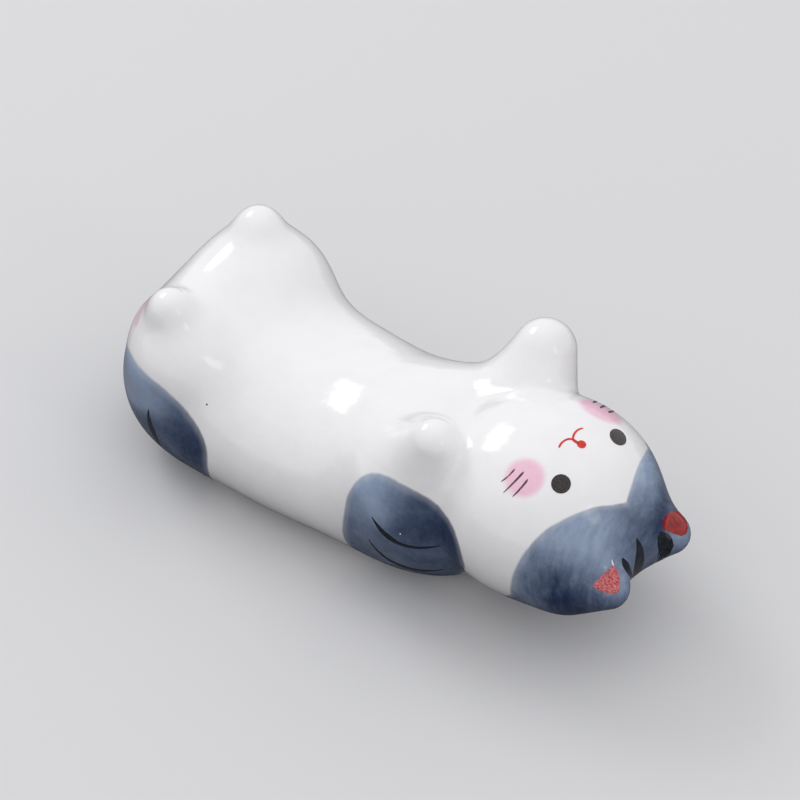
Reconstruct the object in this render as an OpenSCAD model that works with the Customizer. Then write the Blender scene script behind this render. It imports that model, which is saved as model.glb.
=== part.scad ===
// Chopstick rest: a glazed porcelain kitten lying on its back. The sticks lie across its belly,
// in the saddle between the raised hind legs and the forepaws. Millimetres, +X towards the head,
// +Z up. The kitten's left side is -Y, and its flat unglazed underside stands on the plane z = 0.
// Every form is a soft lump of clay, and the skin is the smooth blend of the lumps that meet there.

/* [Trunk] */
// Middle of the rump above the table
rump_z = 8.3; // [7.9:0.1:8.8]
// Half the length of the rump
rump_long = 9.3; // [9:0.1:10.4]
// Half the width of the rump
rump_wide = 11.1; // [10.5:0.1:12]
// Half the height of the rump
rump_high = 8.6; // [8.3:0.1:9.2]
// From the middle of the rump to the middle of the belly
rump_to_belly = 11.7; // [11:0.1:12.6]
// Middle of the belly above the table
belly_z = 6.9; // [6.6:0.1:7.4]
// Half the length of the belly
belly_long = 18.7; // [18:0.1:20]
// Half the width of the belly
belly_wide = 11.6; // [10.8:0.1:12.2]
// Half the height of the belly
belly_high = 8.7; // [8.2:0.1:9]
// From the middle of the belly to the middle of the chest
belly_to_chest = 15.7; // [14.4:0.1:16.2]
// Middle of the chest above the table
chest_z = 8.6; // [8.3:0.1:9.1]
// Half the length of the chest
chest_long = 10.9; // [10:0.1:11.4]
// Half the width of the chest
chest_wide = 10.7; // [10:0.1:11.2]
// Half the height of the chest
chest_high = 9.3; // [8.9:0.1:9.8]
// Width of the blend between rump, belly and chest
trunk_blend = 9; // [7:0.1:10]
// Radius of the ridge across the tail end, between the hind legs
ridge_r = 3.6; // [3.2:0.1:4.2]
// Ridge forward of the tail end
ridge_in = 7.4; // [7:0.1:8.4]
// Height of the ridge's middle
ridge_z = 14.5; // [14:0.1:15.4]
// Half the straight length of the ridge
ridge_half = 5.3; // [4.4:0.1:5.8]
// Width of the blend at the ridge
ridge_blend = 5.1; // [4:0.1:5.6]

/* [Head] */
// From the middle of the chest to the middle of the head
chest_to_head = 12; // [11.4:0.1:12.6]
// Middle of the head above the table
head_z = 12.1; // [11.6:0.1:12.6]
// Half the length of the head
head_long = 11.7; // [11.2:0.1:12.4]
// Half the width of the head
head_wide = 10.9; // [10.4:0.1:11.5]
// Half the depth of the head, from face to back
head_deep = 9.5; // [9:0.1:10]
// Width of the blend at the neck
neck_blend = 1.8; // [1.1:0.1:2.2]

/* [Ears] */
// Ear's root behind the crown of the head
ear_root_in = 5.6; // [5.2:0.1:6]
// Ear's root out from the middle plane
ear_root_y = 4; // [3.6:0.1:4.4]
// Ear's root below the middle of the head
ear_root_drop = 3; // [2.7:0.1:3.5]
// Radius at the ear's root
ear_root_r = 4.1; // [3.8:0.1:4.4]
// Middle of the ear's tip behind the crown of the head
ear_tip_in = 0.4; // [0:0.1:1.2]
// Ear's tip out from the middle plane
ear_tip_y = 4.9; // [4.4:0.1:5.4]
// Ear's tip below the middle of the head
ear_tip_drop = 1.9; // [1.5:0.1:2.3]
// Radius at the ear's tip
ear_tip_r = 1.9; // [1.6:0.1:2.2]
// Width of the blend at the ear
ear_blend = 3.9; // [3:0.1:4.2]

/* [Right forepaw] */
// Right shoulder ahead of the middle of the chest
right_shoulder_x = 4.2; // [3.8:0.1:4.6]
// Right shoulder out from the middle plane
right_shoulder_y = 5.8; // [5.4:0.1:6.2]
// Right shoulder above the middle of the chest
right_shoulder_z = 4.6; // [4.2:0.1:5]
// Radius of the right shoulder
right_shoulder_r = 5.7; // [5.4:0.1:6]
// Right forepaw's tip ahead of the middle of the chest
right_paw_x = 4.9; // [4.6:0.1:5.4]
// Right forepaw's tip out from the middle plane
right_paw_y = 8.9; // [8.5:0.1:9.3]
// Right forepaw's tip above the middle of the chest
right_paw_z = 12.2; // [11.8:0.1:12.6]
// Radius at the right forepaw's tip
right_paw_r = 3.1; // [2.8:0.1:3.4]

/* [Left forepaw] */
// Left shoulder ahead of the middle of the chest
left_shoulder_x = 3.2; // [2.8:0.1:3.6]
// Left shoulder out from the middle plane
left_shoulder_y = 6.1; // [5.7:0.1:6.5]
// Left shoulder above the middle of the chest
left_shoulder_z = 3.8; // [3.4:0.1:4.2]
// Radius of the left shoulder
left_shoulder_r = 4.9; // [4.6:0.1:5.2]
// Left forepaw's tip ahead of the middle of the chest
left_paw_x = 4.3; // [3.9:0.1:4.7]
// Left forepaw's tip out from the middle plane
left_paw_y = 7.3; // [6.9:0.1:7.7]
// Left forepaw's tip above the middle of the chest
left_paw_z = 12; // [11.6:0.1:12.4]
// Radius at the left forepaw's tip
left_paw_r = 1.8; // [1.5:0.1:2.1]

/* [Right hind leg] */
// Right thigh ahead of the middle of the rump
right_thigh_x = 0; // [0:0.1:0.1]
// Right thigh out from the middle plane
right_thigh_y = 5.5; // [5.2:0.1:5.8]
// Right thigh above the middle of the rump
right_thigh_z = 4.9; // [4.4:0.1:5.2]
// Radius of the right thigh
right_thigh_r = 6.7; // [6.3:0.1:7.1]
// Right foot behind the middle of the rump
right_foot_back = 1.5; // [1.2:0.1:1.8]
// Right foot out from the middle plane
right_foot_y = 6.6; // [6.1:0.1:6.9]
// Right foot above the middle of the rump
right_foot_z = 11.7; // [11.2:0.1:12]
// Radius of the right foot
right_foot_r = 2.1; // [1.8:0.1:2.4]

/* [Left hind leg] */
// Left thigh ahead of the middle of the rump
left_thigh_x = 0.3; // [0:0.1:1]
// Left thigh out from the middle plane
left_thigh_y = 7.2; // [6.9:0.1:7.5]
// Left thigh above the middle of the rump
left_thigh_z = 4.9; // [4.5:0.1:5.3]
// Radius of the left thigh
left_thigh_r = 5; // [4.7:0.1:5.3]
// Left foot behind the middle of the rump
left_foot_back = 1; // [0.6:0.1:1.4]
// Left foot out from the middle plane
left_foot_y = 7.6; // [7.3:0.1:7.9]
// Left foot above the middle of the rump
left_foot_z = 11; // [10.4:0.1:11.4]
// Radius of the left foot
left_foot_r = 1.9; // [1.6:0.1:2.2]

/* [Limbs] */
// Width of the blend where a forepaw leaves the trunk
paw_blend = 6.1; // [5.1:0.1:7.1]
// Width of the blend between a thigh and its foot
foot_blend = 4.3; // [3:0.1:5]
// Width of the blend where a hind leg leaves the trunk
leg_blend = 5.1; // [4:0.1:6]

/* [Casting] */
// Thickness of the cast wall
wall = 2.6; // [2.2:0.1:3]
// Diameter of the vent under the belly
vent_d = 3.6; // [2:0.1:5]
// Diameter of the passage through the neck
neck_passage_d = 7; // [4:0.1:8]
// Depth ground off the foot, which leaves it flat and bare
foot_grind = 0.2; // [0.1:0.05:0.4]
// Roundness of the foot's edge
foot_round = 1.6; // [1:0.1:2.4]

/* [Fineness] */
// Facets round the trunk, an even number
spokes = 40; // [32:2:48]
// Facets round a limb
limb_spokes = 22; // [16:1:26]
// Rows of facets over the tail end and over the crown
cap_rows = 9; // [7:1:11]
// Rows of facets over a limb, from its tip
limb_rows = 13; // [9:1:16]
// Facets of true round walls
round_facets = 64; // [32:4:96]

/* [Hidden] */

GLAZE_WHITE = [0.93, 0.94, 0.95];
SLATE_BLUE = [0.33, 0.4, 0.5];

// A limb's clay ends where it stands this little proud of the trunk
seam_high = 0.2;
// The limb's clay goes this deep under the trunk's skin, and is cut off there
seam_deep = 1;
// A limb's skin is found by rays that start this share of the way from its root to its tip
heart_share = 0.65;
full_turn = 360;
// One overrun serves all cuts
overrun = 2;

// The blend with the belly fills the tail end out by this much
tail_swell = 0.6;
// Places along the body. The overall box, from tail end to ear tips, is centred on x = 0.
overall_long = tail_swell + rump_long + rump_to_belly + belly_to_chest + chest_to_head
    + head_long - ear_tip_in + ear_tip_r;
tail_x = -overall_long / 2;
rump_x = tail_x + tail_swell + rump_long;
belly_x = rump_x + rump_to_belly;
chest_x = belly_x + belly_to_chest;
head_x = chest_x + chest_to_head;
crown_x = head_x + head_long;

RUMP = [[rump_x, 0, rump_z], [rump_long, rump_wide, rump_high]];
BELLY = [[belly_x, 0, belly_z], [belly_long, belly_wide, belly_high]];
CHEST = [[chest_x, 0, chest_z], [chest_long, chest_wide, chest_high]];
HEAD = [[head_x, 0, head_z], [head_long, head_wide, head_deep]];
RIDGE = [rump_x - rump_long + ridge_in, 0, ridge_z];

// Torso and head meet this share of the way from the chest's middle to the head's
neck_share = 0.4;
neck_x = chest_x + neck_share * chest_to_head;
neck_z = chest_z + neck_share * (head_z - chest_z);

// A limb is a root ball and a tip ball, each a middle and a radius. Side 1 is the right one, +Y.
function ear(side) =
    [[[crown_x - ear_root_in, side * ear_root_y, head_z - ear_root_drop], ear_root_r],
     [[crown_x - ear_tip_in, side * ear_tip_y, head_z - ear_tip_drop], ear_tip_r]];

function forepaw(side) =
    side > 0
        ? [[[chest_x + right_shoulder_x, right_shoulder_y, chest_z + right_shoulder_z], right_shoulder_r],
           [[chest_x + right_paw_x, right_paw_y, chest_z + right_paw_z], right_paw_r]]
        : [[[chest_x + left_shoulder_x, -left_shoulder_y, chest_z + left_shoulder_z], left_shoulder_r],
           [[chest_x + left_paw_x, -left_paw_y, chest_z + left_paw_z], left_paw_r]];

function hind_leg(side) =
    side > 0
        ? [[[rump_x + right_thigh_x, right_thigh_y, rump_z + right_thigh_z], right_thigh_r],
           [[rump_x - right_foot_back, right_foot_y, rump_z + right_foot_z], right_foot_r]]
        : [[[rump_x + left_thigh_x, -left_thigh_y, rump_z + left_thigh_z], left_thigh_r],
           [[rump_x - left_foot_back, -left_foot_y, rump_z + left_foot_z], left_foot_r]];

// Distances to the lumps, negative inside
function lump_gap(p, lump) =
    let (q = [for (i = [0:2]) (p[i] - lump[0][i]) / lump[1][i]],
         steep = [for (i = [0:2]) q[i] / lump[1][i]],
         n = norm(q))
    n == 0 ? -min(lump[1]) : n * (n - 1) / norm(steep);

function ball_gap(p, ball) = norm(p - ball[0]) - ball[1];

// A hind leg: a thigh and a foot, blended
function leg_gap(p, limb) = blend(ball_gap(p, limb[0]), ball_gap(p, limb[1]), foot_blend);

// An ear or a forepaw: two balls and the cone that touches both
function taper_gap(p, limb) =
    let (long = norm(limb[1][0] - limb[0][0]),
         axis = (limb[1][0] - limb[0][0]) / long,
         up = (p - limb[0][0]) * axis,
         out = norm(p - limb[0][0] - up * axis),
         narrowing = (limb[0][1] - limb[1][1]) / long,
         steep = sqrt(1 - narrowing * narrowing),
         square = steep * up - narrowing * out)
    square < 0 ? norm([out, up]) - limb[0][1] :
    square > steep * long ? norm([out, up - long]) - limb[1][1] :
    steep * out + narrowing * up - limb[0][1];

function ridge_gap(p) =
    norm([p[0] - RIDGE[0], max(abs(p[1]) - ridge_half, 0), p[2] - RIDGE[2]]) - ridge_r;

// A smooth union: both distances ease into each other over the blend's width
function blend(a, b, width) =
    let (near = max(width - abs(a - b), 0) / width)
    min(a, b) - near * near * near * width / 6;

function body_gap(p) =
    let (back = blend(lump_gap(p, RUMP), lump_gap(p, BELLY), trunk_blend),
         whole = blend(back, lump_gap(p, CHEST), trunk_blend))
    blend(whole, ridge_gap(p), ridge_blend);

// The clay ends at the floor of the mould, with a rounded edge
function floored(gap, p) = -blend(-gap, p[2] + foot_grind, foot_round);

function trunk_gap(p) = floored(blend(body_gap(p), lump_gap(p, HEAD), neck_blend), p);

function forepaw_gap(p, limb) =
    blend(blend(body_gap(p), taper_gap(p, limb), paw_blend), lump_gap(p, HEAD), neck_blend);

function hind_leg_gap(p, limb) =
    blend(blend(body_gap(p), leg_gap(p, limb), leg_blend), lump_gap(p, HEAD), neck_blend);

function ear_gap(p, limb) =
    blend(body_gap(p), blend(lump_gap(p, HEAD), taper_gap(p, limb), ear_blend), neck_blend);

// Where a ray from inside the clay first comes out: the step is found in which it does, and then
// halved
RAY_STEP = 0.8;
HALVINGS = 9;
function first_out(gap, from, way, at, stop) =
    at > stop || gap(from + (at + RAY_STEP) * way) > 0
        ? at
        : first_out(gap, from, way, at + RAY_STEP, stop);
function halve(gap, from, way, low, high, left = HALVINGS) =
    let (middle = (low + high) / 2)
    left == 0 ? middle :
    gap(from + middle * way) < 0 ? halve(gap, from, way, middle, high, left - 1)
                                 : halve(gap, from, way, low, middle, left - 1);
function reach(gap, from, way, stop) =
    let (at = first_out(gap, from, way, 0, stop))
    from + way * halve(gap, from, way, at, at + RAY_STEP);

// Rings of the trunk: [heart, lean], the rays of a ring lean from +X by that angle
function between(a, b, n) = [for (i = [1:n - 1]) a + (b - a) * i / n];
body_step = 1.7;
rump_heart = [rump_x, 0, rump_z];
chest_heart = [chest_x, 0, chest_z];
neck_heart = [neck_x, 0, neck_z];
head_heart = [head_x, 0, head_z];
back_count = ceil((chest_x - rump_x) / body_step);
neck_count = ceil((neck_x - chest_x) / body_step);
head_count = ceil((head_x - neck_x) / body_step);
cap_leans = [for (i = [1:cap_rows]) 90 * i / cap_rows];

TAIL_RINGS = [for (lean = cap_leans) [rump_heart, 180 - lean]];
BACK_RINGS = [for (at = between(rump_heart, chest_heart, back_count)) [at, 90]];
CHEST_RINGS = concat([[chest_heart, 90]],
                     [for (at = between(chest_heart, neck_heart, neck_count)) [at, 90]]);
THROAT_RINGS = [for (at = between(neck_heart, head_heart, head_count)) [at, 90]];
CROWN_RINGS = [for (i = [cap_rows:-1:1]) [head_heart, cap_leans[i - 1]]];
RINGS = concat(TAIL_RINGS, BACK_RINGS, CHEST_RINGS, [[neck_heart, 90]], THROAT_RINGS, CROWN_RINGS);
neck_ring = len(TAIL_RINGS) + len(BACK_RINGS) + len(CHEST_RINGS);
last_ring = len(RINGS) - 1;

// The trunk is the same on both sides, so half of each ring is found and the rest mirrored
trunk_reach = max(rump_wide, belly_wide, chest_wide, head_wide) + max(ridge_r, trunk_blend);
function spoke_way(lean, turn) = [cos(lean), sin(lean) * sin(turn), -sin(lean) * cos(turn)];
function ring_points(ring) =
    let (half = [for (j = [0:spokes / 2])
                    let (way = spoke_way(ring[1], full_turn * j / spokes))
                    reach(function (p) trunk_gap(p), ring[0], way, trunk_reach)])
    concat(half, [for (j = [spokes / 2 - 1:-1:1]) [half[j][0], -half[j][1], half[j][2]]]);
TRUNK = [for (ring = RINGS) ring_points(ring)];
function pole(heart, way) = reach(function (p) trunk_gap(p), heart, way, trunk_reach);
tail_pole = pole(rump_heart, [-1, 0, 0]);
crown_pole = pole(head_heart, [1, 0, 0]);

// A closed skin over rows of points, fanned to a point at each end
module skin(rows, first_pole, last_pole) {
    n = len(rows[0]);
    m = len(rows);
    first = n * m;
    polyhedron(
        points = concat([for (row = rows) each row], [first_pole, last_pole]),
        faces = concat(
            [for (j = [0:n - 1]) [first, j, (j + 1) % n]],
            [for (i = [0:m - 2], j = [0:n - 1]) [i * n + j, (i + 1) * n + j, (i + 1) * n + (j + 1) % n]],
            [for (i = [0:m - 2], j = [0:n - 1]) [i * n + j, (i + 1) * n + (j + 1) % n, i * n + (j + 1) % n]],
            [for (j = [0:n - 1]) [first + 1, (m - 1) * n + (j + 1) % n, (m - 1) * n + j]]));
}

// The trunk's skin from one ring to another
module trunk_skin(from_ring, to_ring) {
    skin([for (i = [from_ring:to_ring]) TRUNK[i]],
         from_ring == 0 ? tail_pole : RINGS[from_ring][0],
         to_ring == last_ring ? crown_pole : RINGS[to_ring][0]);
}

// A limb's skin: rays fan out from a heart on the line from root to tip, down to the seam with the
// trunk. There the last row turns in under the trunk's skin, where the trunk cuts it off.
function heart_of(limb) = limb[0][0] + heart_share * (limb[1][0] - limb[0][0]);
widest_lean = 172;
function limb_ways(limb) =
    let (up = (limb[1][0] - limb[0][0]) / norm(limb[1][0] - limb[0][0]),
         side = cross(up, [1, 0, 0]) / norm(cross(up, [1, 0, 0])))
    [up, side, cross(side, up)];

function limb_point(limb, gap, ways, lean, turn, stop) =
    let (way = cos(lean) * ways[0] + sin(lean) * (cos(turn) * ways[1] + sin(turn) * ways[2]))
    reach(gap, heart_of(limb), way, stop);

// The lean at which the limb's skin comes down to the seam, found by halving
function seam_lean(limb, gap, ways, turn, stop, low = 0, high = widest_lean, left = HALVINGS) =
    let (middle = (low + high) / 2)
    left == 0 ? low :
    trunk_gap(limb_point(limb, gap, ways, middle, turn, stop)) > seam_high
        ? seam_lean(limb, gap, ways, turn, stop, middle, high, left - 1)
        : seam_lean(limb, gap, ways, turn, stop, low, middle, left - 1);

module limb_skin(limb, gap, stop) {
    ways = limb_ways(limb);
    far = norm(limb[1][0] - limb[0][0]) + stop;
    turns = [for (j = [0:limb_spokes - 1]) full_turn * j / limb_spokes];
    leans = [for (turn = turns) seam_lean(limb, gap, ways, turn, stop)];
    rows = [for (i = [1:limb_rows])
               [for (j = [0:limb_spokes - 1])
                   limb_point(limb, gap, ways, leans[j] * i / limb_rows, turns[j], far)]];
    seam = rows[limb_rows - 1];
    under = [for (p = seam) let (in = limb[0][0] - p) p + in * min(1, seam_deep / norm(in))];
    skin(concat(rows, [under]), limb_point(limb, gap, ways, 0, 0, far), limb[0][0]);
}

// Everything below the table is cut away, which leaves the flat foot
module below_table() {
    translate([-overall_long, -overall_long, -overall_long])
        cube([2 * overall_long, 2 * overall_long, overall_long]);
}

// The clay beyond the middle plane belongs to the other side's limb
module other_side(side) {
    translate([-overall_long, side < 0 ? 0 : -2 * overall_long, -overall_long])
        cube(2 * overall_long);
}

// The hollow that the slip leaves: a long one in the trunk, a round one in the head, and the
// passage between them
belly_top_z = belly_z + belly_high;
hollow_z = belly_top_z / 2;
hollow_r = hollow_z - wall;
hollow_tail_x = tail_x + wall;
hollow_neck_x = neck_x - wall;
end_facets = 10;
module pill(long, r) {
    quarter = [for (i = [0:end_facets]) 90 * i / end_facets];
    rotate([0, 90, 0])
        rotate_extrude($fn = round_facets)
            polygon(concat([for (a = quarter) [r * sin(a), r - r * cos(a)]],
                           [for (a = quarter) [r * cos(a), long - r + r * sin(a)]]));
}

module hollow() {
    translate([hollow_tail_x, 0, hollow_z]) pill(hollow_neck_x - hollow_tail_x, hollow_r);
    translate(head_heart) sphere(r = head_deep - wall, $fn = round_facets);
    translate([hollow_neck_x - wall, 0, neck_z])
        rotate([0, 90, 0])
            cylinder(h = head_x - hollow_neck_x, d = neck_passage_d, $fn = round_facets);
}

module vent() {
    translate([belly_x, 0, -overrun])
        cylinder(h = hollow_z + overrun, d = vent_d, $fn = round_facets);
}

module torso() {
    color(GLAZE_WHITE)
        difference() {
            trunk_skin(0, neck_ring);
            below_table();
            hollow();
            vent();
        }
}

module head() {
    color(GLAZE_WHITE)
        difference() {
            trunk_skin(neck_ring, last_ring);
            hollow();
        }
}

// The rings that lie within reach of a limb, to cut its seat
function ring_at(x) = len([for (ring = RINGS) if (ring[0][0] < x) 1]);

module ear_piece(side) {
    limb = ear(side);
    color(SLATE_BLUE)
        difference() {
            limb_skin(limb, function (p) ear_gap(p, limb), ear_root_r + ear_blend);
            trunk_skin(last_ring - cap_rows, last_ring);
        }
}

module forepaw_piece(side) {
    limb = forepaw(side);
    stop = limb[0][1] + paw_blend;
    color(GLAZE_WHITE)
        difference() {
            limb_skin(limb, function (p) forepaw_gap(p, limb), stop);
            trunk_skin(ring_at(limb[0][0][0] - stop) - 1, min(ring_at(limb[0][0][0] + stop), last_ring));
        }
}

module hind_leg_piece(side) {
    limb = hind_leg(side);
    stop = limb[0][1] + leg_blend;
    color(GLAZE_WHITE)
        difference() {
            limb_skin(limb, function (p) hind_leg_gap(p, limb), stop);
            trunk_skin(0, ring_at(limb[0][0][0] + stop));
            other_side(side);
        }
}

module left_ear() { ear_piece(-1); }
module right_ear() { ear_piece(1); }
module left_forepaw() { forepaw_piece(-1); }
module right_forepaw() { forepaw_piece(1); }
module left_hind_leg() { hind_leg_piece(-1); }
module right_hind_leg() { hind_leg_piece(1); }

torso();
head();
left_ear();
right_ear();
left_forepaw();
right_forepaw();
left_hind_leg();
right_hind_leg();
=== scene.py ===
import math

import bmesh
import bpy
import numpy as np
from mathutils import Matrix, Vector


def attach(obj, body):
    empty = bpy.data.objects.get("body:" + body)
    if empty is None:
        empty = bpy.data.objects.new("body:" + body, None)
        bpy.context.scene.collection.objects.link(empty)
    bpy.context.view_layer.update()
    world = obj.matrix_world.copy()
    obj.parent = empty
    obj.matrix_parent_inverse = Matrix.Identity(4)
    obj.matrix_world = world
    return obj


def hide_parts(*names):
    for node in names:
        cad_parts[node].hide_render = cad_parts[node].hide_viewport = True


# A glazed porcelain kitten lies on its back, and chopsticks rest across its belly. All the clay is
# one smooth skin over soft lumps. Sizes are in millimetres until a mesh is finished, +X is towards
# the head, +Z is up, and the kitten's left side is -Y.

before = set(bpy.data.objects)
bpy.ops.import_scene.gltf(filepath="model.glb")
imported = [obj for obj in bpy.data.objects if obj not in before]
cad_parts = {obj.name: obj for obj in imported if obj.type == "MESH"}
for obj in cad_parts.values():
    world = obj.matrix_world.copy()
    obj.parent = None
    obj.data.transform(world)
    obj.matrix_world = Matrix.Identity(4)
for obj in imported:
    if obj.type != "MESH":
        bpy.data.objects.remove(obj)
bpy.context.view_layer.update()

MM = 0.001
LEAST_STEEP, LEAST_RISE = 1e-9, 1e-6  # keep divisions away from zero
SLOPE_STEP = 0.01
# Points lower than ON_TABLE stand on the table, and points nearer than MERGE to a cut are on it
ON_TABLE, MERGE = 1e-4, 1e-5

# The lumps of the trunk: a middle and three half sizes
RUMP = (-21.35, 0, 8.3), (9.3, 11.1, 8.6)
BELLY = (-9.65, 0, 6.9), (18.7, 11.6, 8.7)
CHEST = (6.05, 0, 8.6), (10.9, 10.7, 9.3)
HEAD = (18.05, 0, 12.1), (11.7, 10.9, 9.5)
# The ridge across the tail end, between the hind legs
RIDGE, RIDGE_HALF, RIDGE_R = (-23.25, 0, 14.5), 5.3, 3.6
TRUNK_BLEND, RIDGE_BLEND, NECK_BLEND = 9, 5.1, 1.8
PAW_BLEND, FOOT_BLEND, LEG_BLEND, EAR_BLEND = 6.1, 4.3, 5.1, 3.9
# How deep the foot is ground flat, and how softly the skin turns into it
FOOT_GRIND, FOOT_ROUND = 0.2, 1.6
# The head meets the torso at NECK_X, and a limb's skin starts this high over the trunk's
NECK_X = 10.85
SEAM_HIGH = 0.2
VENT_R, VENT_DEEP, VENT_FACETS = 1.8, 7.8, 48

# The limbs: root, tip, root radius, tip radius
LIMBS = {
    "left_ear": ((24.15, -4, 9.1), (29.35, -4.9, 10.2), 4.1, 1.9),
    "right_ear": ((24.15, 4, 9.1), (29.35, 4.9, 10.2), 4.1, 1.9),
    "left_forepaw": ((6.6, -6.0, 12.0), (9.9, -7.0, 19.4), 5.5, 2.4),
    "right_forepaw": ((10.25, 5.8, 13.2), (10.95, 8.9, 20.8), 5.7, 3.1),
    "left_hind_leg": ((-21.05, -7.2, 13.2), (-22.35, -7.6, 19.3), 5, 1.9),
    "right_hind_leg": ((-21.35, 5.5, 13.2), (-22.85, 6.6, 20), 6.7, 2.1),
}


# Distances from points to the clay, negative inside
def lump_gap(p, lump):
    q = (p - lump[0]) / lump[1]
    n = np.linalg.norm(q, axis=1)
    steep = np.linalg.norm(q / lump[1], axis=1)
    return np.where(n > 0, n * (n - 1) / np.maximum(steep, LEAST_STEEP), -min(lump[1]))


def taper_gap(p, limb):
    """Two balls and the cone that touches both."""
    root, tip, root_r, tip_r = np.array(limb[0]), np.array(limb[1]), limb[2], limb[3]
    long = np.linalg.norm(tip - root)
    axis = (tip - root) / long
    up = (p - root) @ axis
    out = np.linalg.norm(p - root - up[:, None] * axis, axis=1)
    narrowing = (root_r - tip_r) / long
    steep = math.sqrt(1 - narrowing ** 2)
    square = steep * up - narrowing * out
    cone = steep * out + narrowing * up - root_r
    return np.where(square < 0, np.hypot(out, up) - root_r,
                    np.where(square > steep * long, np.hypot(out, up - long) - tip_r, cone))


def limb_gap(p, name):
    """Two balls blended for a hind leg, joined by a cone for an ear or a forepaw."""
    limb = LIMBS[name]
    if not name.endswith("leg"):
        return taper_gap(p, limb)
    return blend(np.linalg.norm(p - limb[0], axis=1) - limb[2],
                 np.linalg.norm(p - limb[1], axis=1) - limb[3], FOOT_BLEND)


def ridge_gap(p):
    across = np.maximum(abs(p[:, 1]) - RIDGE_HALF, 0)
    return np.sqrt((p[:, 0] - RIDGE[0]) ** 2 + across ** 2 + (p[:, 2] - RIDGE[2]) ** 2) - RIDGE_R


def blend(a, b, width):
    """The lesser of two distances, with a fillet where they are nearly the same."""
    near = np.maximum(width - abs(a - b), 0) / width
    return np.minimum(a, b) - near ** 3 * width / 6


def body_gap(p):
    back = blend(lump_gap(p, RUMP), lump_gap(p, BELLY), TRUNK_BLEND)
    return blend(blend(back, lump_gap(p, CHEST), TRUNK_BLEND), ridge_gap(p), RIDGE_BLEND)


def trunk_gap(p):
    return blend(body_gap(p), lump_gap(p, HEAD), NECK_BLEND)


def skin_gap(p):
    """Distances to the whole skin, with its ground foot."""
    body, head = body_gap(p), lump_gap(p, HEAD)
    for name in LIMBS:
        if name.endswith("ear"):
            head = blend(head, limb_gap(p, name), EAR_BLEND)
        else:
            body = blend(body, limb_gap(p, name), PAW_BLEND if name.endswith("paw") else LEG_BLEND)
    whole = blend(body, head, NECK_BLEND)
    return -blend(-whole, p[:, 2] + FOOT_GRIND, FOOT_ROUND)


def slope(p):
    """The skin gap's rise along X, Y and Z."""
    return np.stack([(skin_gap(p + d) - skin_gap(p - d)) / (2 * SLOPE_STEP)
                     for d in np.eye(3) * SLOPE_STEP], axis=1)


def outwards(p):
    rise = slope(p)
    return rise / np.linalg.norm(rise, axis=1, keepdims=True)


def onto_skin(p, rounds=6):
    """The points moved straight onto the skin."""
    for _ in range(rounds):
        rise = slope(p)
        p = p - rise * (skin_gap(p) / np.maximum((rise ** 2).sum(1), LEAST_RISE))[:, None]
    return p


# The photograph's camera, in degrees, millimetres and pixels of its 800 x 800 frame
PHOTO_PX = 800
CAM_AZIMUTH, CAM_ELEVATION, CAM_DISTANCE, CAM_FOCAL_PX = 38.52, 41.82, 573.1, 5820.5
CAM_TARGET = np.array((-4.40, 5.80, 7.88))
SENSOR_MM = 36
# How far before and behind the target a sight line is searched for the skin, and how finely
SIGHT_REACH, SIGHT_STEPS, SIGHT_HALVINGS = 45, 451, 20

azimuth, elevation = math.radians(CAM_AZIMUTH), math.radians(CAM_ELEVATION)
cam_back = np.array((math.sin(azimuth) * math.cos(elevation),
                     -math.cos(azimuth) * math.cos(elevation), math.sin(elevation)))
cam_right = np.array((math.cos(azimuth), math.sin(azimuth), 0))
cam_up = np.cross(cam_back, cam_right)
cam_place = CAM_TARGET + cam_back * CAM_DISTANCE


def seen_at(pixels):
    """The places on the skin that the photograph shows at these pixels."""
    px = np.array(pixels, float).reshape(-1, 2) - PHOTO_PX / 2
    ways = (px[:, :1] * cam_right - px[:, 1:] * cam_up) / CAM_FOCAL_PX - cam_back
    ways /= np.linalg.norm(ways, axis=1, keepdims=True)
    ts = CAM_DISTANCE + np.linspace(-SIGHT_REACH, SIGHT_REACH, SIGHT_STEPS)
    trail = cam_place + ts[None, :, None] * ways[:, None, :]
    gaps = skin_gap(trail.reshape(-1, 3)).reshape(len(px), SIGHT_STEPS)
    hit = gaps < 0
    at = np.where(hit.any(1), hit.argmax(1), gaps.argmin(1))
    low, high = ts[np.maximum(at - 1, 0)], ts[at]
    for _ in range(SIGHT_HALVINGS):
        middle = (low + high) / 2
        inside = skin_gap(cam_place + middle[:, None] * ways) < 0
        low, high = np.where(inside, low, middle), np.where(inside, middle, high)
    return onto_skin(cam_place + high[:, None] * ways)


# The clay's skin, made over the joined lumps
VOXEL = 0.3
BALL_SUBDIVISIONS, BALLS_ALONG = 4, 5
RELAX_ROUNDS, RELAX_FACTOR = 6, 0.5


def add_ball(bm, heart, half):
    place = Matrix.Translation(heart) @ Matrix.Diagonal((*half, 1))
    bmesh.ops.create_icosphere(bm, subdivisions=BALL_SUBDIVISIONS, radius=1, matrix=place)


def points_of(bm):
    return np.array([v.co[:] for v in bm.verts])


def move_to(bm, points):
    for v, p in zip(bm.verts, points):
        v.co = p


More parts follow.
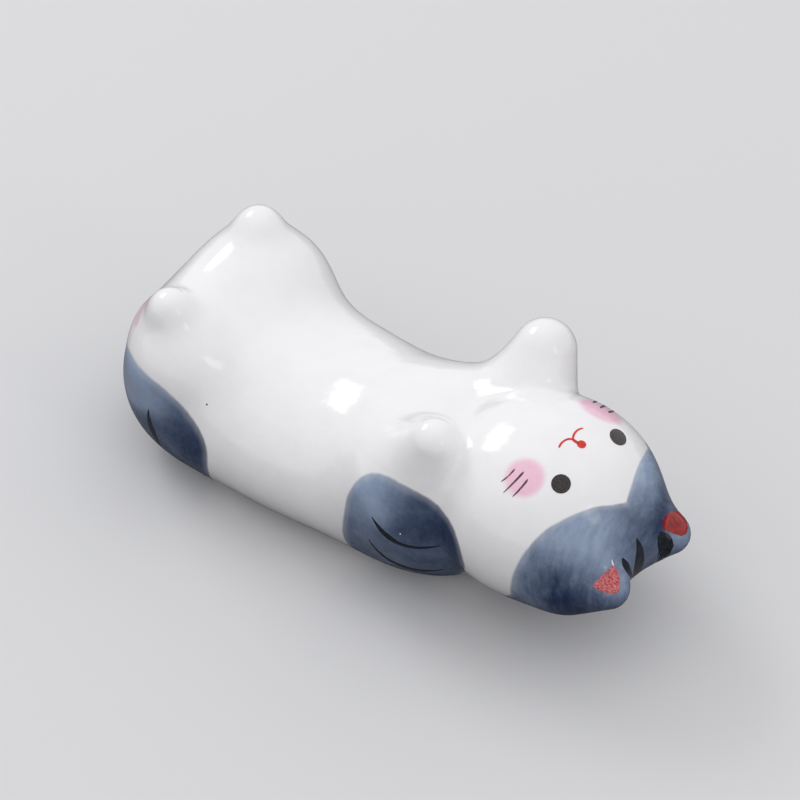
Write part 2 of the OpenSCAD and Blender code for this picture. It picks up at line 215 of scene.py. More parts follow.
def whole_skin():
    """The lumps remeshed into one skin, with its vertices moved onto the exact surface."""
    bm = bmesh.new()
    for lump in (RUMP, BELLY, CHEST, HEAD):
        add_ball(bm, *lump)
    for share in np.linspace(-1, 1, BALLS_ALONG):
        add_ball(bm, (RIDGE[0], share * RIDGE_HALF, RIDGE[2]), (RIDGE_R,) * 3)
    for root, tip, root_r, tip_r in LIMBS.values():
        for share in np.linspace(0, 1, BALLS_ALONG):
            heart = np.array(root) * (1 - share) + np.array(tip) * share
            add_ball(bm, heart, (root_r * (1 - share) + tip_r * share,) * 3)
    mesh = bpy.data.meshes.new("lumps")
    bm.to_mesh(mesh)
    bm.free()
    lumps = bpy.data.objects.new("lumps", mesh)
    bpy.context.scene.collection.objects.link(lumps)
    remesh = lumps.modifiers.new("skin", "REMESH")
    remesh.mode = "VOXEL"
    remesh.voxel_size = VOXEL
    graph = bpy.context.evaluated_depsgraph_get()
    bm = bmesh.new()
    bm.from_mesh(lumps.evaluated_get(graph).to_mesh())
    bpy.data.objects.remove(lumps)
    move_to(bm, onto_skin(points_of(bm)))
    for _ in range(RELAX_ROUNDS):
        bmesh.ops.smooth_vert(bm, verts=bm.verts, factor=RELAX_FACTOR, use_axis_x=True,
                              use_axis_y=True, use_axis_z=True)
        move_to(bm, onto_skin(points_of(bm), rounds=2))
    return bm


def cut_plane(bm, place, normal, clear=False):
    bmesh.ops.bisect_plane(bm, geom=bm.verts[:] + bm.edges[:] + bm.faces[:], dist=MERGE,
                           plane_co=place, plane_no=normal, clear_inner=clear)


def cut_level(bm, values):
    """Splits the faces along the line where the vertices' values pass zero."""
    value = dict(zip(bm.verts, values))
    crossed = [e for e in bm.edges if value[e.verts[0]] * value[e.verts[1]] < 0]
    made = []
    for e in crossed:
        a, b = e.verts
        made.append(bmesh.utils.edge_split(e, a, value[a] / (value[a] - value[b]))[1])
    bmesh.ops.connect_verts(bm, verts=made)


def seat_height(p):
    return trunk_gap(p) - SEAM_HIGH


skin = whole_skin()
cut_plane(skin, (0, 0, 0), (0, 0, 1), clear=True)
cut_plane(skin, (0, 0, 0), (0, 1, 0))
cut_plane(skin, (NECK_X, 0, 0), (1, 0, 0))
cut_level(skin, seat_height(points_of(skin)))
standing = points_of(skin)
standing_on_table = standing[:, 2] < ON_TABLE
settled = onto_skin(standing, rounds=2)
settled[standing_on_table] = standing[standing_on_table]
move_to(skin, settled)

# Each face belongs to the limb that it stands on, or to the trunk's torso or head
hearts = np.array([f.calc_center_median()[:] for f in skin.faces])
limb_names = sorted(LIMBS)
nearest = np.stack([limb_gap(hearts, n) for n in limb_names]).argmin(0)
on_limb = seat_height(hearts) > 0
owner = [limb_names[k] if limb else ("torso" if x < NECK_X else "head")
         for k, limb, x in zip(nearest, on_limb, hearts[:, 0])]


def make_object(name, bm):
    """The finished piece: its mesh goes from millimetres to metres."""
    bmesh.ops.transform(bm, matrix=Matrix.Scale(MM, 4), verts=bm.verts)
    mesh = bpy.data.meshes.new(name)
    bm.to_mesh(mesh)
    bm.free()
    piece = bpy.data.objects.new(name, mesh)
    bpy.context.scene.collection.objects.link(piece)
    return piece


def shade_as_skin(piece):
    """Gives the corners of the smooth faces the skin's own normals, so that no seam shows."""
    mesh = piece.data
    co = np.empty(len(mesh.vertices) * 3)
    mesh.vertices.foreach_get("co", co)
    normals = outwards(co.reshape(-1, 3) / MM)
    corner_vertex = np.empty(len(mesh.loops), int)
    mesh.loops.foreach_get("vertex_index", corner_vertex)
    face_of_corner = np.repeat(np.arange(len(mesh.polygons)), [p.loop_total for p in mesh.polygons])
    corner_normals = normals[corner_vertex]
    smooth = np.array([p.use_smooth for p in mesh.polygons])
    corner_normals[~smooth[face_of_corner]] = 0
    mesh.normals_split_custom_set(corner_normals.tolist())


def add_foot(bm):
    """The ground foot, flat on the table, with the vent that goes up into the hollow."""
    rim = [e for e in bm.edges if e.is_boundary and max(v.co.z for v in e.verts) < ON_TABLE]
    ring = bmesh.ops.create_circle(bm, segments=VENT_FACETS, radius=VENT_R,
                                   matrix=Matrix.Translation((BELLY[0][0], 0, 0)))["verts"]
    mouth = list({e for v in ring for e in v.link_edges})
    bmesh.ops.bridge_loops(bm, edges=rim + mouth)
    walls = bmesh.ops.extrude_edge_only(bm, edges=mouth)["geom"]
    bmesh.ops.translate(bm, vec=(0, 0, VENT_DEEP),
                        verts=[v for v in walls if isinstance(v, bmesh.types.BMVert)])


def piece_of_skin(name):
    """One node's share of the skin, closed inside the clay by a shallow fan over each open rim."""
    bm = skin.copy()
    bm.faces.ensure_lookup_table()
    other = [f for f, who in zip(bm.faces, owner) if who != name]
    bmesh.ops.delete(bm, geom=other, context="FACES")
    for f in bm.faces:
        f.smooth = True
    if name == "torso":
        add_foot(bm)
    rims = [e for e in bm.edges if e.is_boundary]
    lids = bmesh.ops.edgeloop_fill(bm, edges=rims)["faces"]
    wrong = [f for f in lids if f.loops[0].link_loop_radial_next.vert == f.loops[0].vert]
    bmesh.ops.reverse_faces(bm, faces=wrong)
    fan = bmesh.ops.poke(bm, faces=lids)["faces"]
    for f in fan:
        f.smooth = False
    piece = make_object(name + "_glaze", bm)
    shade_as_skin(piece)
    return piece


pieces = {name: piece_of_skin(name) for name in ["torso", "head"] + limb_names}

# The paint: how far each point of the skin lies inside a wash, how dark the wash is there, and
# where the skin blushes

# A flank is unrolled round this axis. The patches' outlines run by pixels of the photograph, and
# on below, out of its sight, by millimetres along the body and round it
FLANK_AXIS_Z, FLANK_R = 8.5, 11.0
SHOULDER_PX = [(342.7, 537), (343.8, 514.5), (347.3, 493.8), (357.6, 478.3), (370.3, 471.5),
               (386.3, 474.5), (402.4, 483.5), (420.8, 492.7), (439.1, 506.5), (452.9, 523.7),
               (459.8, 544.3), (463.5, 560)]
SHOULDER_BELOW = [(16.4, 0.9), (14.6, -4.0), (12.6, -8.6), (8.5, -10.4), (4.4, -10.0), (1.9, -7.5)]
HAUNCH_PX = [(131, 352), (133.8, 358.4), (147.5, 374.4), (163.6, 387), (179.7, 402),
             (193.5, 419.2), (203.8, 436.4), (208.4, 452.5), (208.8, 470)]
HAUNCH_HIDDEN = [(-14.9, -4.5), (-15.6, -8.0), (-18.5, -9.8), (-23.0, -9.6), (-28.0, -8.5),
                 (-32.0, -6.0), (-32.0, 0.0), (-30.0, 4.2), (-27.2, 5.8)]
# The ball that takes the haunch's patch round the tail end
HAUNCH_END, HAUNCH_END_R = (-30, -5.5, 7), 6.8
# The cap's edge: pixels on the near side of the face, then on the far side, and its lean behind
# the head. The near side's edge is mirrored from the fifth point on
CAP_NEAR_PX = [(626, 502.7), (611, 505), (594, 507), (569.5, 516), (544.6, 530), (524.7, 551),
               (512.5, 574), (510.5, 594)]
CAP_FAR_PX = [(632, 483), (639, 463), (648, 448)]
CAP_BEHIND_LEAN, CAP_MIRRORED_FROM = 118, 4
CAP_START_X = NECK_X + 1
# The washes' lighter and darker zones, listed as places in the photograph with a tone from
# light to dark, and hidden places of the cap
TONES_PX = [(131, 365, 0), (140, 385, 0.1), (150, 395, 0.25), (170, 400, 0.55), (190, 425, 0.9),
            (196, 450, 1.1), (205, 470, 0.8), (165, 435, 0.75), (350, 500, 0.5), (370, 482, 0.2),
            (372, 495, 0.2), (352, 535, 0.65), (395, 495, 0.65), (425, 510, 0.9), (445, 535, 1.1),
            (410, 530, 0.8), (385, 555, 0.6), (430, 562, 0.75), (458, 560, 0.9),
            (648, 460, 0.2), (652, 480, 0.15), (642, 500, 0.35), (666, 495, 0.95), (660, 515, 1.1),
            (628, 519, 0.75), (644, 530, 0.85), (600, 519, 0.55), (592, 534, 0.1), (572, 549, 0.3),
            (560, 525, 0.45), (615, 534, 0.3), (629, 556, 0.7), (650, 560, 0.75), (670, 560, 0.7),
            (585, 570, 0.5), (556, 592, 1.1), (545, 575, 0.8), (578, 600, 1), (527, 563, 0.45),
            (519, 588, 0.5), (540, 545, 0.45), (600, 606, 1.05), (614, 600, 0.5), (622, 578, 0.35),
            (683, 541, 0.35)]
TONE_HIDDEN = [(24, -4, 4), (24, 0, 4), (24, 4, 4), (20, 9.5, 9), (27, 6, 14)]
CAP_BEHIND_TONE, TONE_WIDTH = 0.6, 1.5
# Pink spots: pixels, sizes in millimetres, how soft their edges are and how strong a pad is
CHEEKS_PX = [((524.5, 477.3), 1.95), ((601.5, 409.8), 2.3)]
CHEEK_REACH, CHEEK_SOFT = 1.12, 0.3
TOE_PADS_PX = [(150, 298), (147, 302), (144, 306), (141.5, 310), (139, 315), (137, 321)]
TOE_PAD_MM, PAD_SOFT_MM, PAD_STRENGTH = 0.6, 0.4, 0.85
OUTSIDE = -9


def inside_outline(points, corners):
    """Distances into a closed outline on a plane, negative outside it."""
    a = np.array(corners, float)
    b = np.roll(a, -1, axis=0)
    to_point, edge = points[:, None] - a, b - a
    share = np.clip((to_point * edge).sum(2) / (edge ** 2).sum(1), 0, 1)
    far = np.linalg.norm(to_point - share[..., None] * edge, axis=2).min(1)
    above = (a[:, 1] > points[:, 1:]) != (b[:, 1] > points[:, 1:])
    rise = np.where(edge[:, 1] == 0, 1, edge[:, 1])
    left = points[:, :1] < a[:, 0] + (points[:, 1:] - a[:, 1]) / rise * edge[:, 0]
    return np.where((above & left).sum(1) % 2 == 1, far, -far)


def rounded(corners):
    """The outline with its corners cut off twice."""
    for _ in range(2):
        after = np.roll(corners, -1, axis=0)
        corners = np.stack([corners * 0.75 + after * 0.25, corners * 0.25 + after * 0.75],
                           axis=1).reshape(-1, 2)
    return corners


def flank_chart(p):
    """Unrolls the left flank: along the body, and round it from the level of the belly's middle."""
    round_body = np.arctan2(p[:, 2] - FLANK_AXIS_Z, -p[:, 1])
    return np.stack([p[:, 0], round_body * FLANK_R], 1)


def crown_chart(p):
    """Turn round the head's long axis, 0 at the face, and lean away from the crown, in degrees."""
    q = (p - HEAD[0]) / HEAD[1]
    return (np.degrees(np.arctan2(-q[:, 1], q[:, 2])),
            np.degrees(np.arctan2(np.hypot(q[:, 1], q[:, 2]), q[:, 0])))


def spread(p, places, values, width):
    """Values at a few places, spread smoothly over the skin."""
    apart = ((p[:, None] - places) ** 2).sum(2)
    weight = np.exp((apart.min(1)[:, None] - apart) / (2 * width ** 2))
    return (weight * values).sum(1) / weight.sum(1)


def patch_depth(p):
    """How far inside the flank's patches, in millimetres."""
    flank = flank_chart(p)
    patches = np.maximum(*(
        inside_outline(flank, rounded(np.concatenate([flank_chart(seen_at(seen)), hidden])))
        for seen, hidden in ((SHOULDER_PX, SHOULDER_BELOW), (HAUNCH_PX, HAUNCH_HIDDEN))))
    round_end = HAUNCH_END_R - np.linalg.norm(p - HAUNCH_END, axis=1)
    return np.maximum(np.where(p[:, 1] < 0, patches, OUTSIDE), round_end)


def cap_depth(p):
    """How far inside the cap on the head, in millimetres."""
    near_turn, near_lean = crown_chart(seen_at(CAP_NEAR_PX))
    far_turn, far_lean = crown_chart(seen_at(CAP_FAR_PX))
    turns = np.concatenate([near_turn, [180], -near_turn[CAP_MIRRORED_FROM:], far_turn])
    leans = np.concatenate([near_lean, [CAP_BEHIND_LEAN], near_lean[CAP_MIRRORED_FROM:], far_lean])
    order = np.argsort(turns)
    turn, lean = crown_chart(p)
    edge = np.interp(turn, turns[order], leans[order], period=360)
    return np.where(p[:, 0] > CAP_START_X, np.radians(edge - lean) * HEAD[1][1], OUTSIDE)


def wash_tone(p):
    tones = np.array(TONES_PX)
    places = np.concatenate([seen_at(tones[:, :2]), TONE_HIDDEN])
    values = np.concatenate([tones[:, 2], np.full(len(TONE_HIDDEN), CAP_BEHIND_TONE)])
    return spread(p, places, values, TONE_WIDTH)


def blush(p):
    """1 in the middle of the cheeks and toe pads, 0 away from them."""
    far = np.linalg.norm(p[:, None] - seen_at(TOE_PADS_PX), axis=2).min(1)
    pink = np.clip((TOE_PAD_MM + PAD_SOFT_MM / 2 - far) / PAD_SOFT_MM, 0, PAD_STRENGTH)
    for centre, width in CHEEKS_PX:
        far = np.linalg.norm(p - seen_at([centre]), axis=1)
        cheek = np.clip((width * CHEEK_REACH - far) / (width * CHEEK_SOFT), 0, 1)
        pink = np.maximum(pink, cheek)
    return pink


def paint(piece):
    """Stores the paint on the piece's points, where the glaze's material reads it."""
    mesh = piece.data
    co = np.empty(len(mesh.vertices) * 3)
    mesh.vertices.foreach_get("co", co)
    p = co.reshape(-1, 3) / MM
    wash = np.maximum(cap_depth(p), patch_depth(p))
    for name, values in (("wash", wash), ("tone", wash_tone(p)), ("blush", blush(p))):
        mesh.attributes.new(name, "FLOAT", "POINT").data.foreach_set("value", values)


for piece in pieces.values():
    paint(piece)

# Painted marks: thin closed pieces that follow the skin, placed by the photograph's pixels
MARK_HIGH, MARK_DEEP = 0.02, 0.06
ELLIPSE_STEP_DEG, SIDE_STEPS = 10, 12
# How square a stroke's ends are, and how wide they stay
STROKE_END_POWER, STROKE_END_LEAST = 8, 0.3


def ellipse(centre, long, short, tilt=0.0):
    turn = np.radians(np.arange(0, 360, ELLIPSE_STEP_DEG))
    tilt = np.radians(tilt)
    a, b = long * np.cos(turn), short * np.sin(turn)
    return np.stack([centre[0] + a * np.cos(tilt) - b * np.sin(tilt),
                     centre[1] + a * np.sin(tilt) + b * np.cos(tilt)], 1)


def filled(outline):
    """Places in the photograph for the points of a square, spread over a closed outline."""
    corners = np.array(outline, float)
    steps = np.linspace(0, 1, SIDE_STEPS, endpoint=False)[:, None, None]
    rim = (corners + (np.roll(corners, -1, axis=0) - corners) * steps).reshape(-1, 2)
    heart = rim.mean(0)
    turns = np.arctan2(*(rim - heart).T[::-1])
    order = np.argsort(turns)
    reach = np.linalg.norm(rim - heart, axis=1)[order]

    def chart(u, v):
        disc = np.stack([u * np.sqrt(1 - v * v / 2), v * np.sqrt(1 - u * u / 2)], 1)
        turn = np.arctan2(disc[:, 1], disc[:, 0])
        return heart + disc * np.interp(turn, turns[order], reach, period=2 * np.pi)[:, None]
    return chart


def stroke(line, *widths):
    """Places for a brush stroke along a line, with its widths from start to end."""
    line = np.array(line, float)
    at = np.concatenate([[0], np.cumsum(np.linalg.norm(np.diff(line, axis=0), axis=1))])
    at /= at[-1]
    curve = [np.polyfit(at, axis, len(at) - 1) for axis in line.T]

    def chart(u, v):
        t = (u + 1) / 2
        way = np.stack([np.polyval(np.polyder(c), t) for c in curve], 1)
        side = np.stack([-way[:, 1], way[:, 0]], 1) / np.linalg.norm(way, axis=1)[:, None]
        wide = np.interp(t, np.linspace(0, 1, len(widths)), widths)
        end = np.sqrt(np.clip(1 - u ** STROKE_END_POWER, 0, 1))
        offset = v * wide * np.clip(end, STROKE_END_LEAST, 1) / 2
        return np.stack([np.polyval(c, t) for c in curve], 1) + side * offset[:, None]
    return chart


def add_mark(bm, chart, along, across):
    """A thin slab over the square, laid on the skin where the chart puts the square."""
    made = bmesh.ops.create_grid(bm, x_segments=along, y_segments=across, size=1)["verts"]
    under = list({f for v in made for f in v.link_faces})
    raised = bmesh.ops.extrude_face_region(bm, geom=under, use_keep_orig=True)["geom"]
    top = [v for v in raised if isinstance(v, bmesh.types.BMVert)]
    bmesh.ops.translate(bm, vec=(0, 0, 1), verts=top)
    slab = list({f for v in made + top for f in v.link_faces})
    bmesh.ops.recalc_face_normals(bm, faces=slab)
    bmesh.ops.reverse_faces(bm, faces=slab)  # pixels count downwards, which mirrors the square
    for verts, height in ((made, -MARK_DEEP), (top, MARK_HIGH)):
        square = np.array([v.co[:2] for v in verts])
        p = seen_at(chart(square[:, 0], square[:, 1]))
        for v, place in zip(verts, p + outwards(p) * height):
            v.co = place
    for part in raised:
        if isinstance(part, bmesh.types.BMFace):
            part.smooth = True


def marks(name, charts, along=16, across=6):
    """One painted piece made of several marks, each with this many faces along and across."""
    bm = bmesh.new()
    for chart in charts:
        add_mark(bm, chart, along, across)
    piece = make_object(name, bm)
    shade_as_skin(piece)
    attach(piece, "root")
    return piece


eyes = marks("eyes", [filled(ellipse((561, 483.9), 9.9, 9.7)),
                      filled(ellipse((618, 437.2), 9.6, 6.8, 45))], 20, 20)
nose = marks("nose", [filled(ellipse((581.6, 444.4), 4.7, 3.9, 20))], 12, 12)
mouth = marks("mouth", [
    stroke([(572.9, 440), (573.6, 435.5), (576.5, 431.1), (583.4, 428.4)], 2.3, 2.1, 1.4),
    stroke([(573.2, 439.6), (568.5, 439.1), (563.4, 441.4), (558.9, 447.9)], 2.1, 1.8, 2.4),
    stroke([(571.5, 438.5), (575.5, 441.5), (579.5, 444)], 2.2, 3, 2.6)])
whiskers = marks("whiskers", [
    stroke([(514.9, 468.8), (508.6, 475.8), (501, 481.7)], 1.4, 1.6, 0.8, 1.5, 0.8),
    stroke([(523.8, 471.8), (513.5, 482.8), (503.2, 492.9)], 2.3, 2.0, 1.5, 0.9),
    stroke([(527.8, 479.4), (520.6, 488.4), (512.4, 496.8)], 2.4, 1.9, 1.7, 1.0),
    stroke([(598.2, 400.3), (595.5, 401.6), (592.6, 402.3)], 1.6, 2.1, 1.2),
    stroke([(608.2, 404.2), (604, 406), (599.8, 407.8)], 1.6, 2.4, 1.8),
    stroke([(615.4, 410), (611.7, 411.6), (608, 411.9)], 1.6, 2.2, 1.6)], 12, 4)
shoulder_strokes = marks("shoulder_strokes", [
    stroke([(372, 517), (381.7, 530.6), (395.5, 541.5), (414, 547.3), (440, 545.6)],
           1.2, 3.4, 4.8, 2.6, 2.4, 1.8, 0.8),
    stroke([(368.6, 539), (379.4, 552.4), (395.5, 563.2), (418.5, 570), (444, 569.4)],
           1.0, 1.7, 2.2, 1.8, 0.9)], 28, 5)
haunch_stroke = marks("haunch_stroke", [
    stroke([(148.5, 409), (149.8, 422.7), (154.4, 434.6), (160.5, 446.2)],
           1.6, 3.8, 3.6, 1.4)], 16, 5)
crown_stripes = marks("crown_stripes", [
    stroke([(622.4, 558), (627, 567.4), (631.8, 577.5)], 2.5, 6.8, 5, 2),
    stroke([(636.4, 538), (640, 553), (638.4, 566), (633.2, 578)], 1.6, 6.4, 9, 7.4, 2),
    filled([(660.8, 531), (657.6, 537), (657.4, 544), (658.6, 551.3), (657.4, 559), (655.2, 564),
            (662.6, 560), (670, 553.5), (673.8, 545.4), (672, 538), (668, 533.5)])], 20, 12)
near_ear = marks("near_ear_paint", [
    filled([(592.7, 585), (603, 574.5), (613.6, 564.6), (618.6, 573.3), (620.2, 582.1),
            (619, 591.6), (613.2, 594.4), (603, 592), (595, 588)])], 24, 24)
far_ear = marks("far_ear_paint", [
    filled([(663.2, 528.8), (662.3, 522), (666, 514.7), (673.3, 510.5), (680.6, 512.5),
            (685.6, 519), (687.8, 527.8), (686.3, 533.7), (681.5, 536.2), (672, 533)])], 24, 24)
specks = marks("specks", [filled(ellipse((206.8, 404.5), 1, 1)),
                          filled(ellipse((607.6, 571.2), 2.4, 2.4))], 6, 6)
ticks = marks("pale_ticks", [
    stroke([(611.8, 559.5), (612.5, 563), (613.6, 566.5)], 0.9, 1.5, 1.2),
    stroke([(400, 533.4), (400.5, 534.6)], 1.4, 1.4)], 6, 3)

# Painted finishes


def srgb(r, g, b):
    """A colour as it looks on screen, 0 to 255, as the shader's own numbers."""
    shares = [v / 255 for v in (r, g, b)]
    return tuple(s / 12.92 if s < 0.04045 else ((s + 0.055) / 1.055) ** 2.4 for s in shares) + (1,)


class Wire:
    """One output in a material's node tree. Python's operators on it add Math nodes."""

    def __init__(self, tree, socket=None):
        self.tree, self.socket = tree, socket

    def node(self, kind, settings, sockets, out=0):
        made = self.tree.nodes.new(kind)
        for key, value in settings.items():
            setattr(made, key, value)
        for key, value in sockets.items():
            if isinstance(value, Wire):
                self.tree.links.new(value.socket, made.inputs[key])
            else:
                made.inputs[key].default_value = value
        return Wire(self.tree, made.outputs[out] if made.outputs else None)

    def maths(self, operation, *values):
        return self.node("ShaderNodeMath", {"operation": operation}, dict(enumerate(values)))

    def __add__(self, other):
        return self.maths("ADD", self, other)

    def __sub__(self, other):
        return self.maths("SUBTRACT", self, other)

    def __mul__(self, other):
        return self.maths("MULTIPLY", self, other)

    def swing(self, amount):
        """A noise's swing about its middle, this strong."""
        return (self - 0.5) * amount

    def eased(self, low, high):
        """0 below low, 1 above high, and a smooth step between."""
        return self.node("ShaderNodeMapRange", {"interpolation_type": "SMOOTHSTEP"},
                         {0: self, 1: low, 2: high})

    def between(self, first, second):
        """The first colour where this is 0, the second where it is 1."""
        return self.node("ShaderNodeMix", {"data_type": "RGBA"}, {0: self, 6: first, 7: second},
                         out=2)


def new_finish(name):
    finish = bpy.data.materials.new(name)
    finish.use_nodes = True
    finish.node_tree.nodes.clear()
    return finish, Wire(finish.node_tree)


def end_finish(wire, sockets):
    shader = wire.node("ShaderNodeBsdfPrincipled", {}, sockets)
    wire.node("ShaderNodeOutputMaterial", {}, {0: shader})


def object_mm(wire):
    metres = wire.node("ShaderNodeTexCoord", {}, {}, out="Object")
    return wire.node("ShaderNodeVectorMath", {"operation": "SCALE"}, {0: metres, "Scale": 1 / MM})


WHITE_GLAZE, SHADE_GLAZE = srgb(243, 242, 243), srgb(240, 239, 241)
WASH_LIGHT, WASH_DARK = srgb(160, 178, 206), srgb(20, 42, 78)
BLUSH_PINK, BARE_CLAY = srgb(240, 184, 208), srgb(226, 220, 210)


def attribute(wire, name):
    return wire.node("ShaderNodeAttribute", {"attribute_name": name}, {}, out="Fac")


def noise(wire, place, scale, detail=3.0, roughness=0.55):
    return wire.node("ShaderNodeTexNoise", {}, {"Vector": place, "Scale": scale, "Detail": detail,
                                                "Roughness": roughness}, out="Fac")


# Noise over the glaze, in waves per millimetre. The streaks run round the head
MOTTLE, FINE, GRAIN, STREAK, RIPPLE = 0.35, 1.6, 6.0, 1.7, 0.42
STREAK_SQUASH = 1.0, 0.22, 0.22
MOTTLE_LOW, MOTTLE_HIGH = 0.3, 0.7
RIPPLE_STRENGTH, RIPPLE_METRES = 0.28, 0.0002
HEAD_FROM, HEAD_FULL = 14, 18
# How much each noise adds to a wash's tone, and how much more the streaks add on the head
TONE_MOTTLE, TONE_FINE, TONE_GRAIN, TONE_STREAK, TONE_STREAK_HEAD = 0.5, 0.2, 0.1, 0.15, 0.45
TONE_LIGHT, TONE_DARK = -0.15, 1.2
# A wash's edge and how it wavers, and how thinly the paint lies within a millimetre of it
EDGE_OUT, EDGE_IN, EDGE_WAVER, EDGE_COVER, MIDDLE_COVER = -0.12, 0.2, 0.2, 0.78, 0.22
PINK_LEAST, PINK_FINE = 0.62, 0.4
# Below these heights the foot's clay starts to be bare, and is all bare
BARE_FROM, BARE_FULL = 0.5, 0.15
GLAZE_IOR, GLAZE_ROUGH, GLAZE_ROUGH_FINE, BARE_ROUGH = 1.52, 0.1, 0.08, 0.5


def painted_glaze():
    """The white glaze over the washes and the blush that paint() stored, and the bare foot."""
    finish, wire = new_finish("painted_glaze")
    place = object_mm(wire)
    broad, fine = noise(wire, place, MOTTLE), noise(wire, place, FINE, 4.0, 0.65)
    grain = noise(wire, place, GRAIN, 2.0)
    round_head = wire.node("ShaderNodeVectorMath", {"operation": "MULTIPLY"},
                           {0: place, 1: STREAK_SQUASH}, out="Vector")
    streak = noise(wire, round_head, STREAK, 4.0, 0.6)
    along = wire.node("ShaderNodeSeparateXYZ", {}, {0: place}, out="X")
    on_head = along.eased(HEAD_FROM, HEAD_FULL)
    tone = (attribute(wire, "tone") + broad.swing(TONE_MOTTLE) + fine.swing(TONE_FINE)
            + streak.swing(on_head * TONE_STREAK_HEAD + TONE_STREAK) + grain.swing(TONE_GRAIN))
    wash = tone.eased(TONE_LIGHT, TONE_DARK).between(WASH_LIGHT, WASH_DARK)
    inside = attribute(wire, "wash") + streak.swing(EDGE_WAVER)
    cover = (inside.eased(EDGE_OUT, EDGE_IN)
             * (inside.eased(0, 1.0) * MIDDLE_COVER + EDGE_COVER))
    white = broad.eased(MOTTLE_LOW, MOTTLE_HIGH).between(WHITE_GLAZE, SHADE_GLAZE)
    colour = cover.between(white, wash)
    pink = attribute(wire, "blush") * (fine * PINK_FINE + PINK_LEAST)
    colour = pink.between(colour, BLUSH_PINK)
    height = wire.node("ShaderNodeSeparateXYZ", {}, {0: place}, out="Z")
    bare = height.eased(BARE_FROM, BARE_FULL)
    colour = bare.between(colour, BARE_CLAY)
    ripple = wire.node("ShaderNodeBump", {}, {"Strength": RIPPLE_STRENGTH,
                                              "Distance": RIPPLE_METRES,
                                              "Height": noise(wire, place, RIPPLE, 2.0)})
    end_finish(wire, {"Base Color": colour, "IOR": GLAZE_IOR, "Normal": ripple,
                      "Roughness": bare * BARE_ROUGH + (fine * GLAZE_ROUGH_FINE + GLAZE_ROUGH)})
    return finish


BRUSH_LOW, BRUSH_HIGH, PAINT_ROUGH, PAINT_ROUGH_FINE = 0.35, 0.65, 0.08, 0.06


def brushed(name, dark, light, scale):
    """A brushed colour under the same glaze."""
    finish, wire = new_finish(name)
    place = object_mm(wire)
    grain = noise(wire, place, scale, 4.0, 0.7)
    end_finish(wire, {"Base Color": grain.eased(BRUSH_LOW, BRUSH_HIGH).between(dark, light),
                      "Roughness": noise(wire, place, 2.0) * PAINT_ROUGH_FINE + PAINT_ROUGH,
                      "IOR": GLAZE_IOR})
    return finish


for piece, finish in (
        (eyes, brushed("eye_paint", srgb(14, 12, 12), srgb(56, 46, 46), 5.0)),
        (nose, brushed("red_paint", srgb(196, 24, 20), srgb(222, 60, 48), 3.0)),
        (whiskers, brushed("whisker_paint", srgb(52, 34, 46), srgb(104, 72, 88), 4.0)),
        (crown_stripes, brushed("stripe_paint", srgb(14, 18, 24), srgb(36, 44, 54), 2.5)),
        (near_ear, brushed("near_ear_red", srgb(158, 30, 38), srgb(214, 122, 124), 5.0)),
        (far_ear, brushed("far_ear_red", srgb(122, 2, 4), srgb(164, 18, 16), 2.0)),
        (specks, brushed("speck_paint", srgb(110, 84, 92), srgb(150, 90, 96), 2.0)),
        (ticks, brushed("pale_glaze", srgb(225, 228, 232), srgb(245, 245, 245), 2.0))):
    piece.data.materials.append(finish)
mouth.data.materials.append(nose.data.materials[0])
for piece in (shoulder_strokes, haunch_stroke):
    piece.data.materials.append(crown_stripes.data.materials[0])
glaze = painted_glaze()
for name, piece in pieces.items():
    piece.data.materials.append(glaze)
    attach(piece, "root")
    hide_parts(name)

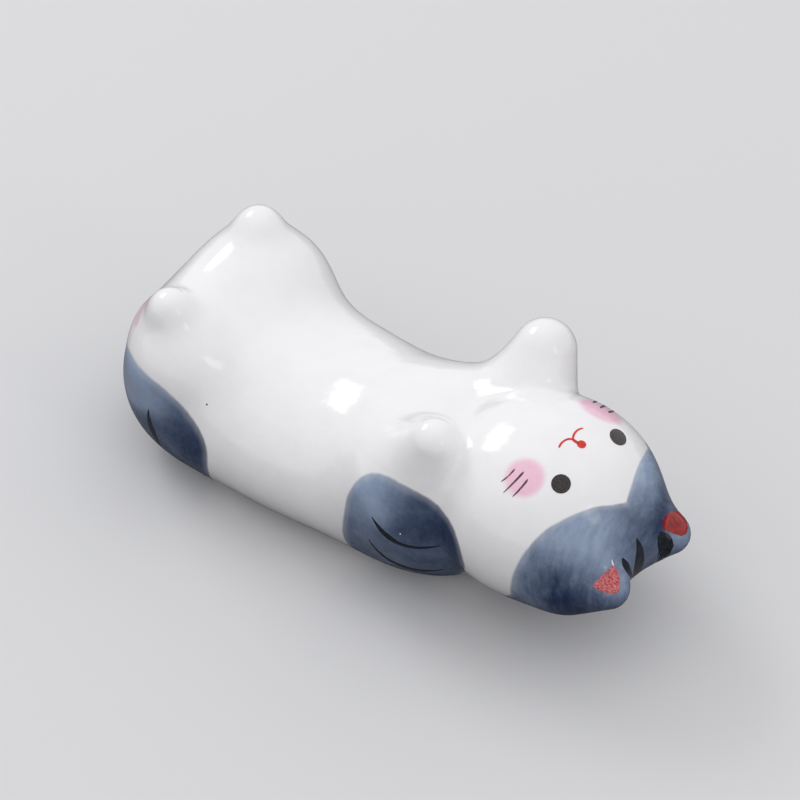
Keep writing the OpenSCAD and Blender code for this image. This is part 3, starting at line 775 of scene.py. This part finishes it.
# The studio: a soft world, three softboxes and a pale floor, which lights the object from below
# as a darker one would
FLOOR_HALF = 1.5
FLOOR_BOUNCE, FLOOR_SEEN, FLOOR_ROUGH = srgb(100, 98, 101), srgb(214, 214, 216), 0.9
WORLD_COLOUR, WORLD_STRENGTH = srgb(241, 241, 242), 1.0
LAMP_DISTANCE = 0.6
floor_bm = bmesh.new()
bmesh.ops.create_grid(floor_bm, x_segments=1, y_segments=1, size=FLOOR_HALF / MM)
floor = make_object("floor", floor_bm)
floor_finish, wire = new_finish("floor_paper")
seen = wire.node("ShaderNodeLightPath", {}, {}, out="Is Camera Ray")
end_finish(wire, {"Base Color": seen.between(FLOOR_BOUNCE, FLOOR_SEEN), "Roughness": FLOOR_ROUGH})
floor.data.materials.append(floor_finish)

world = bpy.data.worlds.new("studio")
bpy.context.scene.world = world
world.use_nodes = True
sky = world.node_tree.nodes["Background"].inputs
sky["Color"].default_value = WORLD_COLOUR
sky["Strength"].default_value = WORLD_STRENGTH


def softbox(name, azimuth_deg, elevation_deg, wide, high, power):
    """An area lamp that faces the object. Azimuth 0 is +X and 90 is +Y. Sizes are in metres."""
    a, e = math.radians(azimuth_deg), math.radians(elevation_deg)
    way = Vector((math.cos(a) * math.cos(e), math.sin(a) * math.cos(e), math.sin(e)))
    data = bpy.data.lights.new(name, "AREA")
    data.shape = "RECTANGLE"
    data.size, data.size_y, data.energy = wide, high, power
    lamp = bpy.data.objects.new(name, data)
    lamp.location = way * LAMP_DISTANCE
    lamp.rotation_mode = "QUATERNION"
    lamp.rotation_quaternion = way.to_track_quat("Z", "Y")
    bpy.context.scene.collection.objects.link(lamp)


softbox("window_pane", 176, 42, 0.13, 0.17, 0.34)
softbox("window_pane_2", 162, 40, 0.13, 0.14, 0.3)
softbox("side_window", -8, 33, 0.1, 0.2, 0.15)

camera_data = bpy.data.cameras.new("camera")
camera_data.lens = CAM_FOCAL_PX / PHOTO_PX * SENSOR_MM
camera_data.sensor_width = SENSOR_MM
camera = bpy.data.objects.new("camera", camera_data)
camera.location = Vector(cam_place * MM)
camera.rotation_mode = "QUATERNION"
camera.rotation_quaternion = Vector(cam_back).to_track_quat("Z", "Y")
bpy.context.scene.collection.objects.link(camera)
bpy.context.scene.camera = camera
bpy.context.scene.view_settings.view_transform = "Standard"
